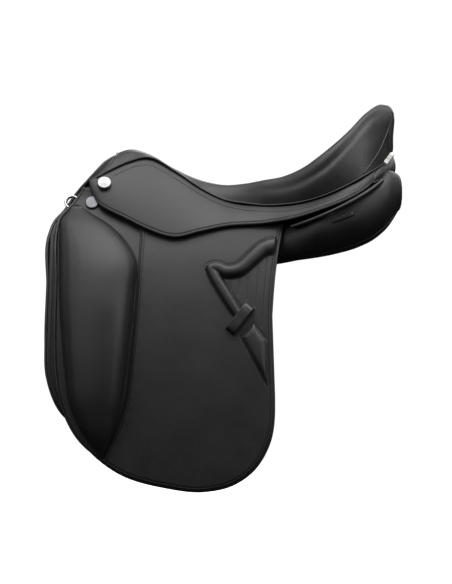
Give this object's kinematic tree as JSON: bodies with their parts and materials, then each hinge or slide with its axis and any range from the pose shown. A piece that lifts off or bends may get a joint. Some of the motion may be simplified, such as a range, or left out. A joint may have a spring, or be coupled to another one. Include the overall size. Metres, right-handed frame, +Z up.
{
  "type": "english saddle",
  "caption": "Black leather English saddle with deep seat, long straight flaps, thigh blocks and flocked panels on a sprung tree.",
  "frame": {"origin": "on the symmetry plane, level with the bearing line of the panels, where the horse's back carries the saddle", "axes": "+X to the rear of the saddle, +Y to its right (off) side, +Z up"},
  "size_m": [0.5302, 0.4362, 0.5795],
  "materials": {
    "seat_leather": "smooth satin black leather",
    "flap_leather": "grained matt black leather",
    "block_leather": "soft grained black leather",
    "lining_leather": "soft matt black leather",
    "billet_leather": "black strap leather",
    "tree_wood": "laminated beech, sealed",
    "spring_steel": "blued spring steel",
    "bar_steel": "satin stainless steel",
    "webbing": "woven girth web",
    "foam": "open-cell foam",
    "flocked_panel": "leather-covered wool flocking",
    "nail_chrome": "polished",
    "plate_metal": "satin"
  },
  "bodies": {
    "root": {"tree_frame": "tree_wood", "gullet_plate": "spring_steel", "gullet_rivets": "spring_steel", "seat_web": "webbing", "girth_web_front": "webbing", "girth_web_rear": "webbing", "seat_foam": "foam", "seat_cover": "seat_leather", "pommel_facing": "seat_leather", "cantle_facing": "seat_leather", "cantle_plate": "plate_metal", "gullet_lining": "lining_leather", "tree_spring_right": "spring_steel", "tree_spring_left": "spring_steel", "stirrup_bar_right": "bar_steel", "stirrup_bar_left": "bar_steel", "bar_rivet_right": "bar_steel", "bar_rivet_left": "bar_steel", "skirt_root_right": "flap_leather", "skirt_root_left": "flap_leather", "flap_head_right": "flap_leather", "flap_head_left": "flap_leather", "sweat_flap_right": "flap_leather", "sweat_flap_left": "flap_leather", "panel_right": "flocked_panel", "panel_left": "flocked_panel", "panel_welt_right": "flap_leather", "panel_welt_left": "flap_leather", "dee_chape_right": "billet_leather", "dee_chape_left": "billet_leather", "skirt_nail_right": "nail_chrome", "skirt_nail_left": "nail_chrome", "flap_nail_right": "nail_chrome", "flap_nail_left": "nail_chrome", "panel_tab_right": "flap_leather", "panel_tab_left": "flap_leather"},
    "flap_right": {"flap_right": "flap_leather", "flap_facing_right": "flap_leather", "block_core_right": "foam", "block_cover_right": "block_leather", "leather_keeper_right": "flap_leather", "calf_pad_right": "flap_leather"},
    "skirt_right": {"skirt_right": "flap_leather"},
    "billet_front_right": {"billet_front_right": "billet_leather"},
    "billet_rear_right": {"billet_rear_right": "billet_leather"},
    "dee_ring_right": {"dee_ring_right": "nail_chrome"},
    "bar_catch_right": {"bar_catch_right": "bar_steel"},
    "flap_left": {"flap_left": "flap_leather", "flap_facing_left": "flap_leather", "block_core_left": "foam", "block_cover_left": "block_leather", "leather_keeper_left": "flap_leather", "calf_pad_left": "flap_leather"},
    "skirt_left": {"skirt_left": "flap_leather"},
    "billet_front_left": {"billet_front_left": "billet_leather"},
    "billet_rear_left": {"billet_rear_left": "billet_leather"},
    "dee_ring_left": {"dee_ring_left": "nail_chrome"},
    "bar_catch_left": {"bar_catch_left": "bar_steel"}
  },
  "joints": [
    {"name": "flap_right_lift", "type": "hinge", "parent": "root", "child": "flap_right", "pos_m": [-0.255, 0.08357, 0.06406], "axis": [0.9816, 0.1305, -0.1395], "range_deg": [0, 70]},
    {"name": "skirt_right_lift", "type": "hinge", "parent": "root", "child": "skirt_right", "pos_m": [-0.2, 0.066, 0.113], "axis": [0.9559, 0.1826, -0.2299], "range_deg": [0, 60]},
    {"name": "billet_front_right_swing", "type": "hinge", "parent": "root", "child": "billet_front_right", "pos_m": [-0.0571, 0.09904, 0.02053], "axis": [-0.0499, 0.9988, 0], "range_deg": [-6, 6]},
    {"name": "billet_rear_right_swing", "type": "hinge", "parent": "root", "child": "billet_rear_right", "pos_m": [0.0029, 0.10659, 0.02305], "axis": [-0.0499, 0.9988, 0], "range_deg": [-6, 6]},
    {"name": "dee_ring_right_swing", "type": "hinge", "parent": "root", "child": "dee_ring_right", "pos_m": [-0.225, 0.05536, 0.08709], "axis": [-0.5779, 0.3607, -0.7321], "range_deg": [-15, 60]},
    {"name": "bar_catch_right_turn", "type": "hinge", "parent": "root", "child": "bar_catch_right", "pos_m": [-0.0917, 0.07119, 0.07889], "axis": [0.0432, -0.864, -0.5017], "range_deg": [0, 80]},
    {"name": "flap_left_lift", "type": "hinge", "parent": "root", "child": "flap_left", "pos_m": [-0.255, -0.08357, 0.06406], "axis": [-0.9816, 0.1305, 0.1395], "range_deg": [0, 70]},
    {"name": "skirt_left_lift", "type": "hinge", "parent": "root", "child": "skirt_left", "pos_m": [-0.2, -0.066, 0.113], "axis": [-0.9559, 0.1826, 0.2299], "range_deg": [0, 60]},
    {"name": "billet_front_left_swing", "type": "hinge", "parent": "root", "child": "billet_front_left", "pos_m": [-0.0571, -0.09904, 0.02053], "axis": [0.0499, 0.9988, 0], "range_deg": [-6, 6]},
    {"name": "billet_rear_left_swing", "type": "hinge", "parent": "root", "child": "billet_rear_left", "pos_m": [0.0029, -0.10659, 0.02305], "axis": [0.0499, 0.9988, 0], "range_deg": [-6, 6]},
    {"name": "dee_ring_left_swing", "type": "hinge", "parent": "root", "child": "dee_ring_left", "pos_m": [-0.225, -0.05536, 0.08709], "axis": [0.5779, 0.3607, 0.7321], "range_deg": [-15, 60]},
    {"name": "bar_catch_left_turn", "type": "hinge", "parent": "root", "child": "bar_catch_left", "pos_m": [-0.0917, -0.07119, 0.07889], "axis": [-0.0432, -0.864, 0.5017], "range_deg": [0, 80]}
  ]
}
